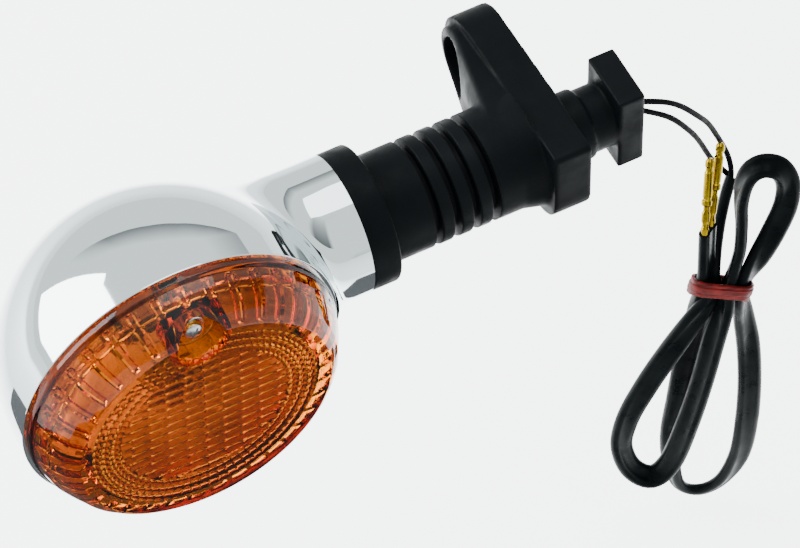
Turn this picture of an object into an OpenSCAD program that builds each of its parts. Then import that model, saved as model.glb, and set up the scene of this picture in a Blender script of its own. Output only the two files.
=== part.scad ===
// Motorcycle turn signal lamp: a chrome bowl with a round amber lens, on a flexible
// rubber stem with a mounting lug, a slotted-bracket plug and a tied hank of wires.
// Origin: on the axis of the lug hole, at the rear face of the lug plate.
// +X runs along the stem away from the lamp, the lens faces -Y, +Z is up.

/* [Lamp] */
// Outer diameter of the lens rim
lens_d = 86; // [80:1:90]
// How far the lens face stands in front of the rim
lens_depth = 15; // [13:0.5:17]
// Radius of the flat front of the lens
lens_face_r = 34; // [32:0.5:35]
// Outer diameter of the chrome bowl
bowl_d = 88; // [86:1:92]
// Straight skirt of the bowl behind the rim
bowl_skirt = 7; // [6:0.5:9]
// Wall thickness of bowl and neck
shell_t = 2; // [1.6:0.1:2.4]
// Height of the lens screw above the lamp axis
screw_up = 32; // [31:0.5:33]

/* [Neck] */
// Distance from the lamp axis to the end of the neck
neck_reach = 57; // [54:1:64]
// Outer diameter of the neck
neck_d = 38; // [36:1:40]
// Depth of the stem axis behind the lens rim
neck_depth = 23; // [22:0.5:25]

/* [Stem] */
// Diameter of the rubber collar against the neck
collar_d = 37.6; // [34:0.2:38]
// Thickness of the collar
collar_t = 8; // [6:0.5:10]
// Diameter of the rubber tube and of the bellows ribs
tube_d = 29.2; // [27:0.2:30]
// Diameter at the bottom of the bellows grooves
groove_d = 25; // [22:0.5:26]
// Distance from one bellows groove to the next
rib_pitch = 5.5; // [5:0.1:6]
// Width of a bellows groove
groove_w = 2; // [1.5:0.1:2.4]
// Length of the tube between bellows and lug plate
body_len = 14; // [12:0.5:18]

/* [Mounting end] */
// Distance from the stem axis to the lug hole
lug_offset = 31; // [30:1:36]
// Diameter of the lug hole
lug_hole_d = 16.4; // [12:0.2:18]
// Thickness of the lug plate
plate_t = 10.5; // [9:0.5:12]
// Gap between lug plate and plug, for the bracket
bracket_gap = 13; // [10:0.5:16]
// Diameter of the neck in the gap
gap_neck_d = 17.4; // [16:0.2:17.4]
// Plug size along the stem
plug_t = 7.5; // [6:0.5:9]
// Plug size front to back
plug_w = 17.6; // [17.6:0.2:20]
// Plug height
plug_h = 26.6; // [24:0.2:28]

/* [Wiring] */
// Diameter of one thin wire
wire_d = 1.6; // [1.4:0.1:1.8]
// Width of the flat twin sleeve
sleeve_w = 6; // [5:0.5:6]
// Thickness of the flat twin sleeve
sleeve_t = 3.2; // [3:0.1:3.6]
// Length of a brass bullet with its crimp
bullet_len = 21; // [18:1:24]

/* [Hidden] */
$fn = 96;

lens_r = lens_d / 2;
bowl_r = bowl_d / 2;
bowl_in_r = bowl_r - shell_t;
lens_t = 2;
rim_t = 2;
face_swell = 0.2;
lip_r = bowl_in_r - 0.5;
lip_len = 4;
gasket_t = 2;
seat_z = lip_len + gasket_t;
flange_t = 1;
pocket_r = 8.5;
pocket_wall = 1.6;
pocket_floor = -8.3;
post_z = pocket_floor + 2;
screw_r = 1.5;
screw_head_r = 2.7;
screw_head_t = 2.2;
washer_t = 0.5;
post_r = 4;
tab_w = 8;

dish_r = 36;
dish_hole_r = 9.2;
dish_ring_r = 13.5;
dish_ring_z = 24.7;
dish_drop = (dish_ring_z - seat_z) / (pow(dish_r, 2) - pow(dish_ring_r, 2));

socket_in_r = 7.8;
socket_out_r = 8.8;
socket_front = 18.7;
socket_back = 45;
cap_r = 7.6;
cap_front = 20;
cap_back = 37;
pin_z = 30;
pin_r = 0.95;
push_travel = 1.5;
unlock_turn = 20;
nipple_r = 1.5;
nipple_end = 38.6;
plunger_head_t = 1;
insulator_front = 43;

lamp_x = -(body_len + plate_t + 4 * rib_pitch + 16.5 + neck_reach);
neck_end_x = lamp_x + neck_reach;
stem_y = -lug_offset;
lens_y = stem_y - neck_depth;
neck_r = neck_d / 2;
neck_in_r = neck_r - shell_t;
web_x = neck_end_x - 5;
web_t = 3;
spigot_len = 2;
stud_r = 6;
stud_in_r = 4.2;
bore_r = 4;
exit_r = 3.2;
tube_r = tube_d / 2;
groove_r = groove_d / 2;
mount_start_x = -(body_len + plate_t);
bellows_len = 3 * rib_pitch + groove_w;
bellows_x = mount_start_x - bellows_len;
plug_x = bracket_gap;
shoulder_len = 6.3;
exit_x = plug_x + plug_t;
wire_gap = 1.2;

hank_x = 50;
hank_turn = -27;
hank_t = 12;
waist = [1.5, -102];
waist_r = 7.3;
band_h = 6.5;
band_t = 1.2;
band_tilt = 13;
sleeve_in = [4, 18, -75.5];
sleeve_in_from = [0, 4, -94];
tail_from = [-3.5, 0, -97];
tail_end = [-3, 1, -76];
bullet_dir = [2, 13.7, 16.3];
bullet_splay = [0.5, 0, 0];
bullet_turn = 62;
bullet_gap = 1.4;

// Routes of the two wires from inside the plug to the mouth of the sleeve.
hot_route = [[exit_x - 7.9, stem_y, wire_gap], [exit_x, -31, 0.5], [25, -31, -2.5], [31, -30.5, -6.5],
    [36, -29.5, -12], [40.5, -28, -19], [45, -25.5, -27.5], [49.5, -22.5, -36], [54, -18, -47],
    [58, -14.5, -57.5], [61, -13.5, -65.5], [62.5, -14.5, -71], [61.5, -17.5, -74.5]];
ground_route = [[exit_x - 7.9, stem_y, -wire_gap], [exit_x, -31, -2], [25, -31, -6.5],
    [31.5, -30.5, -12.5], [36, -29.5, -19], [40.5, -28, -27.5], [44.5, -25, -36], [49.5, -20, -48.5],
    [53.5, -16, -59], [56.5, -14, -67], [59, -14, -72], [61, -15, -75], [62, -16, -76.5]];

// Lamp frame: z runs from the lens rim into the bowl, y points down.
module lamp() {
    translate([lamp_x, lens_y, 0]) rotate([-90, 0, 0]) children();
}

// Stem frame: z runs along the stem axis, away from the lamp.
module stem(x) {
    translate([x, stem_y, 0]) rotate([0, 90, 0]) children();
}

// Hank frame: x across the hank, z up.
module hank() {
    translate([hank_x, stem_y, 0]) rotate([0, 0, hank_turn]) children();
}

module ring(outer, inner, h) {
    difference() {
        cylinder(h = h, r = outer);
        translate([0, 0, -1]) cylinder(h = h + 2, r = inner);
    }
}

function unit(v) = v / norm(v);
function heading(p, i) = unit(p[min(i + 1, len(p) - 1)] - p[max(i - 1, 0)]);

// Closed tube of radius r along the points p; side is never parallel to the path.
module tube(p, r, side, sides = 8) {
    last = len(p) - 1;
    rings = [for (i = [0:last])
        let (t = heading(p, i), u = unit(cross(t, side)), v = cross(t, u))
        for (k = [0:sides - 1])
            p[i] + r * (cos(360 * k / sides) * u + sin(360 * k / sides) * v)];
    walls = [for (i = [0:last - 1], k = [0:sides - 1])
        let (a = i * sides + k, b = i * sides + (k + 1) % sides)
        [a, b, b + sides, a + sides]];
    first_cap = [for (k = [0:sides - 1]) sides - 1 - k];
    last_cap = [for (k = [0:sides - 1]) last * sides + k];
    polyhedron(rings, concat([first_cap], walls, [last_cap]));
}

// Smooth curve through the points p, with n steps between two of them.
function bend(a, b, c, d, t) =
    0.5 * (2 * b + (c - a) * t + (2 * a - 5 * b + 4 * c - d) * t * t
        + (3 * b - a - 3 * c + d) * t * t * t);
function curve(p, n) = concat(
    [for (i = [0:len(p) - 2], k = [0:n - 1])
        bend(p[max(i - 1, 0)], p[i], p[i + 1], p[min(i + 2, len(p) - 1)], k / n)],
    [p[len(p) - 1]]);

// ---------------------------------------------------------------- lamp

module bowl_profile(r) {
    square([r, bowl_skirt]);
    intersection() {
        translate([0, bowl_skirt]) circle(r = r);
        translate([0, bowl_skirt]) square([r, r]);
    }
}

module housing() {
    color("silver") difference() {
        union() {
            difference() {
                union() {
                    lamp() rotate_extrude() bowl_profile(bowl_r);
                    stem(lamp_x + 10) cylinder(h = neck_reach - 10, r = neck_r);
                }
                lamp() translate([0, 0, -0.01]) rotate_extrude() bowl_profile(bowl_in_r);
                stem(lamp_x) cylinder(h = web_x - lamp_x, r = neck_in_r);
                stem(web_x + web_t) cylinder(h = 10, r = neck_in_r);
                stem(web_x - 1) cylinder(h = web_t + 2, r = stud_r + 0.1);
            }
            // ledge that the reflector rests on
            difference() {
                lamp() translate([0, 0, seat_z + flange_t]) ring(bowl_in_r + 0.5, 40, 2);
                stem(lamp_x) cylinder(h = neck_reach, r = neck_in_r);
            }
            // post for the lens screw
            lamp() intersection() {
                translate([0, -screw_up, post_z]) cylinder(h = 50, r = post_r);
                translate([0, 0, post_z]) cylinder(h = bowl_skirt - post_z, r = bowl_r - 1);
            }
            lamp() intersection() {
                translate([0, -screw_up, 0]) cylinder(h = 50, r = post_r);
                rotate_extrude() bowl_profile(bowl_r - 0.5);
            }
        }
        lamp() translate([0, -screw_up, pocket_floor]) cylinder(h = 17, r = screw_r + 0.05);
        // notch in the rim for the lens tab
        lamp() translate([-tab_w / 2 - 0.3, bowl_in_r - 1, -1]) cube([tab_w + 0.6, 4, lip_len + 0.3]);
    }
}

module dish_profile() {
    front = [for (r = [dish_r:-2.5:dish_ring_r])
        [r, seat_z + dish_drop * (pow(dish_r, 2) - pow(r, 2))]];
    back = [for (i = [len(front) - 1:-1:0]) front[i] + [0, flange_t]];
    polygon(concat(
        [[lip_r + 0.1, seat_z + flange_t], [lip_r + 0.1, seat_z]], front,
        [[dish_hole_r, dish_ring_z], [dish_hole_r, dish_ring_z + flange_t]], back));
}

module reflector() {
    color("gainsboro") lamp() difference() {
        rotate_extrude() dish_profile();
        translate([0, -screw_up, 0]) cylinder(h = 20, r = post_r + 0.4);
    }
}

// Outside of the lens from the middle of its face to its rim: a flat face and a curved side.
lens_front = [[0, -face_swell - lens_depth], [lens_face_r + 1, -lens_depth],
    [lens_face_r + 2.5, 1 - lens_depth], [lens_face_r + 4, 2.5 - lens_depth],
    [lens_face_r + 6, 6 - lens_depth], [lens_r - 1.5, -rim_t - 4], [lens_r - 0.7, -rim_t - 1]];

module lens_envelope() {
    polygon(concat(lens_front, [[lens_r - 0.7, 0], [0, 0]]));
}

module lens_profile() {
    outside = concat(lens_front, [[lens_r, -rim_t], [lens_r, 0]]);
    lip = [[lip_r, 0], [lip_r, lip_len], [lip_r - lens_t, lip_len], [lip_r - lens_t, -rim_t]];
    inside = [[lip_r - lens_t - 0.8, -rim_t - 4], [lens_face_r + 2.5, 5.5 - lens_depth],
        [lens_face_r - 0.5, lens_t + 0.3 - lens_depth], [0, lens_t - face_swell - lens_depth]];
    polygon(concat(outside, lip, inside));
}

module lens() {
    notch = [9, 3, 3];
    color("orange") lamp() {
        difference() {
            union() {
                rotate_extrude() lens_profile();
                intersection() {
                    rotate_extrude() lens_envelope();
                    translate([0, -screw_up, -lens_depth - 1])
                        cylinder(h = lens_depth + 1 + pocket_floor + lens_t, r = pocket_r);
                }
            }
            translate([0, -screw_up, -lens_depth - 5])
                cylinder(h = lens_depth + 5 + pocket_floor, r = pocket_r - pocket_wall);
            translate([0, -screw_up, -lens_depth]) cylinder(h = 20, r = screw_r + 0.2);
            // drain notch at the bottom of the face
            translate([-notch[0] / 2, lens_face_r + 2, -lens_depth - 2]) cube(notch);
        }
        translate([-tab_w / 2, lip_r - 0.5, 0]) cube([tab_w, 2.2, lip_len - 1]);
    }
}

module lens_gasket() {
    color("dimgray") lamp() translate([0, 0, lip_len]) ring(lip_r, lip_r - 2.9, gasket_t);
}

module lens_screw() {
    head_z = pocket_floor - washer_t;
    color("lightsteelblue") lamp() translate([0, -screw_up, head_z]) difference() {
        union() {
            cylinder(h = 14.8, r = screw_r);
            translate([0, 0, -screw_head_t]) cylinder(h = screw_head_t, r = screw_head_r);
        }
        for (a = [45, 135]) rotate([0, 0, a])
            translate([-1.5, -0.3, -screw_head_t - 1]) cube([3, 0.6, 2.2]);
    }
}

module screw_washer() {
    color("silver") lamp() translate([0, -screw_up, pocket_floor - washer_t])
        ring(3.6, screw_r + 0.1, washer_t);
}

// ---------------------------------------------------------------- bulb and socket

glass_r = 12.3;
glass_z = 4.5;
glass_neck_r = 6.8;
glass_end = 24;
bead_t = 4;

module glass_profile(r, neck) {
    intersection() {
        union() {
            translate([0, glass_z]) circle(r = r);
            translate([0, glass_z]) square([neck, glass_end - glass_z]);
        }
        translate([0, -20]) square([30, 20 + glass_end]);
    }
}

module bulb_glass() {
    color("lightcyan") lamp() rotate_extrude() difference() {
        glass_profile(glass_r, glass_neck_r);
        glass_profile(glass_r - 0.7, glass_neck_r - 0.7);
    }
}

module pin_shape() {
    for (a = [0, 180]) rotate([0, 0, a]) translate([cap_r - 0.5, 0, pin_z])
        rotate([0, 90, 0]) cylinder(h = 1.5, r = pin_r);
}

module bulb_cap() {
    color("darkkhaki") lamp() difference() {
        translate([0, 0, cap_front]) cylinder(h = cap_back - cap_front, r = cap_r);
        translate([0, 0, cap_front - 1]) cylinder(h = cap_back - cap_front + 0.2, r = cap_r - 0.7);
        translate([0, 0, cap_back - 2]) cylinder(h = 3, r = 3.8);
        pin_shape();
    }
}

module bulb_pins() {
    color("goldenrod") lamp() pin_shape();
}

module bulb_insulator() {
    color("black") lamp() translate([0, 0, cap_back - 0.8]) ring(3.8, nipple_r, 1.6);
}

module bulb_contact() {
    color("silver") lamp() translate([0, 0, cap_back - 1.5])
        cylinder(h = nipple_end - cap_back + 1.5, r = nipple_r);
}

filament_z = 5;
filament_half = 4;

module bulb_filament() {
    color("dimgray") lamp() translate([-filament_half, 0, filament_z])
        rotate([0, 90, 0]) cylinder(h = 2 * filament_half, r = 0.5);
}

module filament_posts() {
    color("gray") lamp() {
        for (s = [-1, 1]) translate([s * (filament_half - 0.4), 0, filament_z + 0.5])
            cylinder(h = glass_end - bead_t - filament_z - 0.5, r = 0.35);
    }
}

module glass_bead() {
    color("lightcyan") lamp() translate([0, 0, glass_end - bead_t])
        ring(glass_neck_r - 0.7, 2, bead_t);
}

module socket_shell() {
    slot = pin_r + 0.25;
    color("lightgray") lamp() difference() {
        union() {
            translate([0, 0, socket_front])
                ring(socket_out_r, socket_in_r, socket_back - socket_front);
            translate([0, 0, dish_ring_z + flange_t]) ring(dish_ring_r, socket_in_r, flange_t);
            translate([0, 0, socket_back]) ring(socket_out_r, 6.5, 0.6);
        }
        // bayonet slots: a straight way in, then a turn to the locked place
        for (a = [0, 180]) rotate([0, 0, a]) {
            rotate([0, 0, -8]) rotate_extrude(angle = unlock_turn + 16)
                translate([6, pin_z - slot]) square([4, 2 * slot + push_travel + 0.2]);
            rotate([0, 0, unlock_turn]) translate([6, -slot, socket_front - 1])
                cube([4, 2 * slot, pin_z - socket_front + 1]);
        }
    }
}

module socket_rivets() {
    color("gray") lamp() for (a = [60, 180, 300]) rotate([0, 0, a])
        translate([11.2, 0, 0]) {
            translate([0, 0, dish_ring_z + 2 * flange_t]) cylinder(h = 0.8, r = 1.4);
            translate([0, 0, dish_ring_z - 0.7]) cylinder(h = 0.7, r = 1.4);
        }
}

module socket_insulator() {
    color("saddlebrown") lamp() translate([0, 0, insulator_front])
        ring(socket_in_r, 1.3, socket_back - insulator_front);
}

module contact_plunger() {
    color("goldenrod") lamp() {
        translate([0, 0, nipple_end]) cylinder(h = plunger_head_t, r = 2.6);
        translate([0, 0, nipple_end]) cylinder(h = 7.9, r = 1.2);
    }
}

spring_coil_r = 2;
spring_wire_r = 0.3;
spring_turns = 3;

module contact_spring() {
    low = nipple_end + plunger_head_t + spring_wire_r;
    rise = insulator_front - spring_wire_r - low;
    steps = 14 * spring_turns;
    coil = [for (i = [0:steps])
        let (a = 360 * spring_turns * i / steps)
        [spring_coil_r * cos(a), spring_coil_r * sin(a), low + rise * i / steps]];
    color("silver") lamp() tube(coil, spring_wire_r, [0, 0, 1], 6);
}

module hot_tag() {
    color("goldenrod") lamp() difference() {
        translate([-4, -2, socket_back]) cube([10, 4, 0.5]);
        translate([0, 0, socket_back - 1]) cylinder(h = 3, r = 1.6);
    }
}

module ground_tag() {
    color("silver") lamp() translate([9.5, -2, dish_ring_z + 2 * flange_t]) cube([7, 4, 0.6]);
}

module wires_head() {
    hot = [[3, 46.4, 0], [6, 46.4, 0.5], [9, 46.3, 1.2], [11.5, 45, 1.2], [14, 41.5, 1.2], [19, 36, 1.2],
        [27, 29, 1.2], [36, 24, 1.2]];
    ground = [[16.6, 27, -0.6], [20, 27, -0.8], [25, 26, -1], [31, 24.5, -1.2], [36, 23.5, -1.2]];
    color("black") for (route = [hot, ground]) {
        inside = [for (q = curve(route, 3)) [lamp_x + q[0], lens_y + q[1], q[2]]];
        last_z = route[len(route) - 1][2] > 0 ? wire_gap : -wire_gap;
        tube(concat(inside, [[web_x - 8, stem_y, last_z], [bellows_x, stem_y, last_z]]),
            wire_d / 2, [0, 0, 1]);
    }
}

// ---------------------------------------------------------------- stem

module stem_stud() {
    color("silver") stem(web_x - 7.5) ring(stud_r, stud_in_r, 27);
}

module neck_washer() {
    color("silver") stem(web_x - 1.2) ring(10, stud_r + 0.1, 1.2);
}

module stem_nut() {
    color("silver") stem(web_x - 6.2) difference() {
        cylinder(h = 5, r = 9.8, $fn = 6);
        translate([0, 0, -1]) cylinder(h = 7, r = stud_r);
    }
}

module stem_head() {
    stud_end = web_x + 19.5;
    color("dimgray") difference() {
        union() {
            stem(neck_end_x) cylinder(h = collar_t, r = collar_d / 2);
            stem(neck_end_x - spigot_len) cylinder(h = spigot_len, r = neck_in_r - 0.1);
            stem(neck_end_x) cylinder(h = bellows_x - neck_end_x, r = tube_r);
        }
        stem(neck_end_x - 5) cylinder(h = stud_end - neck_end_x + 5, r = stud_r);
        stem(stud_end - 1) cylinder(h = 30, r = bore_r);
    }
}

module stem_bellows() {
    color("dimgray") stem(bellows_x) difference() {
        cylinder(h = bellows_len, r = tube_r);
        translate([0, 0, -1]) cylinder(h = bellows_len + 2, r = bore_r);
        for (i = [0:3]) translate([0, 0, i * rib_pitch - (i == 0 ? 1 : 0)])
            ring(tube_r + 5, groove_r, groove_w + (i == 0 || i == 3 ? 1 : 0));
    }
}

module wires_bellows() {
    color("black") for (s = [-1, 1]) stem(bellows_x)
        translate([s * wire_gap, 0, 0]) cylinder(h = bellows_len, r = wire_d / 2);
}

// Outline of the lug plate, front to back along x and up along y.
module plate_outline() {
    front = -(lug_offset + 17.9);
    lug_r = 12.8;
    corner = 10;
    arc = [for (a = [180:10:270])
        [front + corner + corner * cos(a), corner - tube_r + corner * sin(a)]];
    difference() {
        union() {
            circle(r = lug_r);
            polygon(concat([[0, lug_r], [-lug_offset, tube_r], [front + 1, tube_r], [front, tube_r - 1]],
                arc, [[-lug_offset, -tube_r], [0, -lug_r]]));
        }
        circle(r = lug_hole_d / 2);
    }
}

module stem_mount() {
    color("dimgray") difference() {
        union() {
            stem(mount_start_x) cylinder(h = body_len + 1, r = tube_r);
            translate([-plate_t, 0, 0]) rotate([90, 0, 90])
                linear_extrude(plate_t) plate_outline();
            // gusset from the tube to the lug
            difference() {
                hull() {
                    stem(mount_start_x + 6) cylinder(h = body_len - 6, r = tube_r, $fn = 32);
                    translate([-plate_t - 2, 0, 0]) rotate([0, 90, 0])
                        cylinder(h = 2, r = 11, $fn = 32);
                }
                translate([-plate_t - 20, 0, 0]) rotate([0, 90, 0])
                    cylinder(h = 30, r = lug_hole_d / 2);
            }
            // flare of the tube where it meets the plate
            stem(-plate_t - 7) cylinder(h = 7, r1 = tube_r - 0.2, r2 = tube_r + 1.6);
        }
        stem(mount_start_x - 1) cylinder(h = 2 - mount_start_x, r = exit_r);
    }
}

// End of the rubber stem: a stepped neck that sits in the bracket, and a square plug.
module stem_plug() {
    color("dimgray") difference() {
        union() {
            stem(0) cylinder(h = shoulder_len, r = gap_neck_d / 2 + 0.9);
            stem(0) cylinder(h = bracket_gap + 1, r = gap_neck_d / 2);
            translate([plug_x, stem_y - plug_w / 2, -plug_h / 2]) cube([plug_t, plug_w, plug_h]);
        }
        stem(-1) cylinder(h = exit_x + 2, r = exit_r);
    }
}

module wires_mount() {
    color("black") for (s = [-1, 1]) stem(mount_start_x)
        translate([s * wire_gap, 0, 0]) cylinder(h = exit_x - 8 - mount_start_x, r = wire_d / 2);
}

// ---------------------------------------------------------------- free wires

module lead_hot() {
    color("black") tube(curve(hot_route, 2), wire_d / 2, [0, 1, 0]);
}

module lead_ground() {
    color("black") tube(curve(ground_route, 3), wire_d / 2, [0, 1, 0]);
}

// Disc of radius r at (x, z) in the hank, as thick as the hank.
module hank_disc(x, z, r) {
    translate([x, hank_t / 2, z]) rotate([90, 0, 0]) cylinder(h = hank_t, r = r, $fn = 32);
}

module sleeve_hank() {
    color("black") hank() {
        hull() {
            hank_disc(12.3, -55, 9.5);
            hank_disc(4.5, waist[1], 4.3);
        }
        hull() {
            hank_disc(waist[0], waist[1], waist_r);
            hank_disc(-14.5, -181, 12);
            hank_disc(-1, -195.5, 12);
            hank_disc(3.5, -160, 11);
        }
    }
}

// Moves its children to the point p with their z axis along d.
module along(p, d) {
    translate(p) rotate([0, acos(d[2] / norm(d)), atan2(d[1], d[0])]) children();
}

module sleeve_start() {
    run = sleeve_in - sleeve_in_from;
    color("black") hank() along(sleeve_in_from, run) cylinder(h = norm(run), r = sleeve_t / 2);
}

module sleeve_tail() {
    run = tail_end - tail_from;
    color("black") hank() along(tail_from, run)
        for (s = [-1, 1]) translate([s * bullet_gap, 0, 0])
            cylinder(h = norm(run), r = sleeve_t / 2);
}

module tie_band() {
    outer = [2 * (waist_r + band_t), hank_t + 2 * band_t];
    color("firebrick") hank() translate([waist[0], 0, waist[1]]) rotate([0, band_tilt, 0])
        translate([0, 0, -band_h / 2]) difference() {
            linear_extrude(band_h) square(outer, center = true);
            translate([0, 0, -1]) linear_extrude(band_h + 2)
                square([2 * waist_r, hank_t], center = true);
        }
}

// Bullet terminal beside the sleeve's end: crimp, collar, pin and rounded tip.
module bullet(side, crimp) {
    barrel_r = 1.2;
    tip = 1.5;
    pin_end = bullet_len + crimp - 8;
    color("gold") hank() along(tail_end, bullet_dir - side * bullet_splay)
        rotate([0, 0, bullet_turn]) translate([0, side * bullet_gap, 0]) {
        cylinder(h = crimp, r = barrel_r - 0.2);
        translate([0, 0, crimp]) cylinder(h = tip, r = barrel_r + 0.1);
        translate([0, 0, crimp + tip]) cylinder(h = pin_end - crimp - 2 * tip, r = barrel_r);
        translate([0, 0, pin_end - tip]) cylinder(h = tip, r1 = barrel_r, r2 = barrel_r - 0.5);
    }
}

module bullet_hot() {
    bullet(-1, 10);
}

module bullet_ground() {
    bullet(1, 8);
}

housing();
reflector();
lens();
lens_gasket();
lens_screw();
screw_washer();
bulb_glass();
bulb_cap();
bulb_pins();
bulb_contact();
bulb_insulator();
bulb_filament();
filament_posts();
glass_bead();
socket_shell();
socket_rivets();
socket_insulator();
contact_plunger();
contact_spring();
hot_tag();
ground_tag();
wires_head();
stem_stud();
neck_washer();
stem_nut();
stem_head();
stem_bellows();
wires_bellows();
stem_mount();
stem_plug();
wires_mount();
lead_hot();
lead_ground();
sleeve_start();
sleeve_hank();
sleeve_tail();
tie_band();
bullet_hot();
bullet_ground();
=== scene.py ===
"""Turn signal lamp: chrome bowl, amber lens, ribbed rubber stem and a tied hank of wires."""

import math

import bmesh
import bpy
from mathutils import Matrix, Vector


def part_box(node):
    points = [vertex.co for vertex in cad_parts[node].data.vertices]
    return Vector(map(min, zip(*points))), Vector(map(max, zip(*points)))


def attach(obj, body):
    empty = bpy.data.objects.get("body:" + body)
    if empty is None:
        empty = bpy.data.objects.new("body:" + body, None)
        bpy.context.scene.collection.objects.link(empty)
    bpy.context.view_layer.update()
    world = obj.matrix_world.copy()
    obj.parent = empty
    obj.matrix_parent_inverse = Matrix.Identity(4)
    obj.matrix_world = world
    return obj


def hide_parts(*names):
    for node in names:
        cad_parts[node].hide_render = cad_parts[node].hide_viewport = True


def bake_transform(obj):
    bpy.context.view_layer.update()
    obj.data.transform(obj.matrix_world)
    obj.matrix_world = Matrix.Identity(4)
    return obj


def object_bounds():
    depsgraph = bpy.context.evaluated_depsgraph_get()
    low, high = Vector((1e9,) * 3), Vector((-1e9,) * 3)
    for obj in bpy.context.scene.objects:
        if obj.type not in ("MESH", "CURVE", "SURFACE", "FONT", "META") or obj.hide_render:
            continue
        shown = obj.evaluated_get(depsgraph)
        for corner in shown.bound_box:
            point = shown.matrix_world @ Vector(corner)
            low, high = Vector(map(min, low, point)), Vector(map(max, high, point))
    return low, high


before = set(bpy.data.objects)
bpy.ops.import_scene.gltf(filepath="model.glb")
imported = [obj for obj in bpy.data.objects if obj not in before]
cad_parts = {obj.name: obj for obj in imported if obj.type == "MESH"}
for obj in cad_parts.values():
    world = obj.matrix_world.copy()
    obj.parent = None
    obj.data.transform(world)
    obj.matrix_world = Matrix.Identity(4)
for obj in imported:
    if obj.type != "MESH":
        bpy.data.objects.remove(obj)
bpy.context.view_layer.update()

MM = 0.001
TURN = 2 * math.pi

# ---------------------------------------------------------------- places from the frame

housing_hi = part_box("housing")[1]
lens_lo, lens_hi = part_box("lens")
gasket_lo, gasket_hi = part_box("lens_gasket")
bellows_lo, bellows_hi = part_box("stem_bellows")
washer_lo, washer_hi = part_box("screw_washer")
screw_lo, screw_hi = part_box("lens_screw")

lamp_x = (gasket_lo.x + gasket_hi.x) / 2
lip_len = 4 * MM
rim_y = gasket_lo.y - lip_len
bowl_r = housing_hi.z
bowl_skirt = housing_hi.y - rim_y - bowl_r
shell_t = 2 * MM
lens_r = (lens_hi.x - lens_lo.x) / 2
lens_front = lens_lo.y - rim_y
lip_r = (gasket_hi.x - gasket_lo.x) / 2
seat = gasket_hi.y - rim_y
screw_up = (washer_lo.z + washer_hi.z) / 2
pocket_floor = washer_hi.y - rim_y
stem_y = (bellows_lo.y + bellows_hi.y) / 2
neck_depth = stem_y - rim_y
neck_end_x = housing_hi.x
neck_r = 19 * MM
collar_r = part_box("stem_head")[1].z
tube_r = bellows_hi.z
groove_r = 12 * MM
groove_w = 2 * MM
rib_pitch = 5.5 * MM


def in_lamp(radius, turn, depth):
    """Point in the lamp. turn runs clockwise from the top, seen from the front."""
    return Vector((lamp_x + radius * math.sin(turn), rim_y + depth, radius * math.cos(turn)))


def on_stem(x, radius, turn):
    """Point about the stem's axis. turn runs from the top towards the front."""
    return Vector((x, stem_y - radius * math.sin(turn), radius * math.cos(turn)))


# ---------------------------------------------------------------- camera


camera_azimuth, camera_elevation, camera_roll = -26.591, 54.437, -0.938
camera_aim = Vector((-54.37, -46.84, -7.97)) * MM
camera_distance = 1.609
camera_lens, camera_sensor = 283.455, 36


def make_camera():
    """Camera at the photo's angle. Angles are in degrees, lens and sensor in millimetres."""
    azimuth, elevation, roll = (
        math.radians(a) for a in (camera_azimuth, camera_elevation, camera_roll)
    )
    back = Vector((
        math.sin(azimuth) * math.cos(elevation),
        -math.cos(azimuth) * math.cos(elevation),
        math.sin(elevation),
    ))
    level = Vector((math.cos(azimuth), math.sin(azimuth), 0))
    upright = back.cross(level)
    right = math.cos(roll) * level + math.sin(roll) * upright
    up = back.cross(right)
    data = bpy.data.cameras.new("camera")
    data.lens = camera_lens
    data.sensor_width = camera_sensor
    data.clip_end = 20
    camera = bpy.data.objects.new("camera", data)
    camera.matrix_world = Matrix.Translation(camera_aim + camera_distance * back) @ Matrix((
        (right.x, up.x, back.x, 0), (right.y, up.y, back.y, 0),
        (right.z, up.z, back.z, 0), (0, 0, 0, 1),
    ))
    bpy.context.scene.collection.objects.link(camera)
    bpy.context.scene.camera = camera


make_camera()

# ---------------------------------------------------------------- mesh helpers


def new_object(name, mesh):
    """Object in the scene with that mesh."""
    obj = bpy.data.objects.new(name, mesh)
    bpy.context.scene.collection.objects.link(obj)
    return obj


def piece(name, verts, faces, sharp_angle=35):
    """Object from points and faces, with shared points merged and normals facing out."""
    mesh = bpy.data.meshes.new(name)
    mesh.from_pydata([tuple(v) for v in verts], [], faces)
    work = bmesh.new()
    work.from_mesh(mesh)
    bmesh.ops.remove_doubles(work, verts=work.verts, dist=1e-7)
    bmesh.ops.recalc_face_normals(work, faces=work.faces)
    work.to_mesh(mesh)
    work.free()
    smooth(mesh, sharp_angle)
    return new_object(name, mesh)


def smooth(mesh, sharp_angle=35):
    """Smooth shading, except at edges sharper than the angle in degrees."""
    mesh.shade_smooth()
    mesh.set_sharp_from_angle(angle=math.radians(sharp_angle))


def grid_faces(rows, cols, wrap_rows=False, wrap_cols=True):
    """Quads over rows x cols points, where each row holds cols points."""
    faces = []
    for i in range(rows if wrap_rows else rows - 1):
        for k in range(cols if wrap_cols else cols - 1):
            a, b = i * cols + k, i * cols + (k + 1) % cols
            c, d = (i + 1) % rows * cols + (k + 1) % cols, (i + 1) % rows * cols + k
            faces.append((a, b, c, d))
    return faces


def lathe(name, profile, place, steps=160, closed=False, sharp_angle=35):
    """Turns a profile of (radius, distance along the axis) about the axis that place uses."""
    verts = [place(r, TURN * k / steps, along) for r, along in profile for k in range(steps)]
    return piece(name, verts, grid_faces(len(profile), steps, wrap_rows=closed), sharp_angle)


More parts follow.
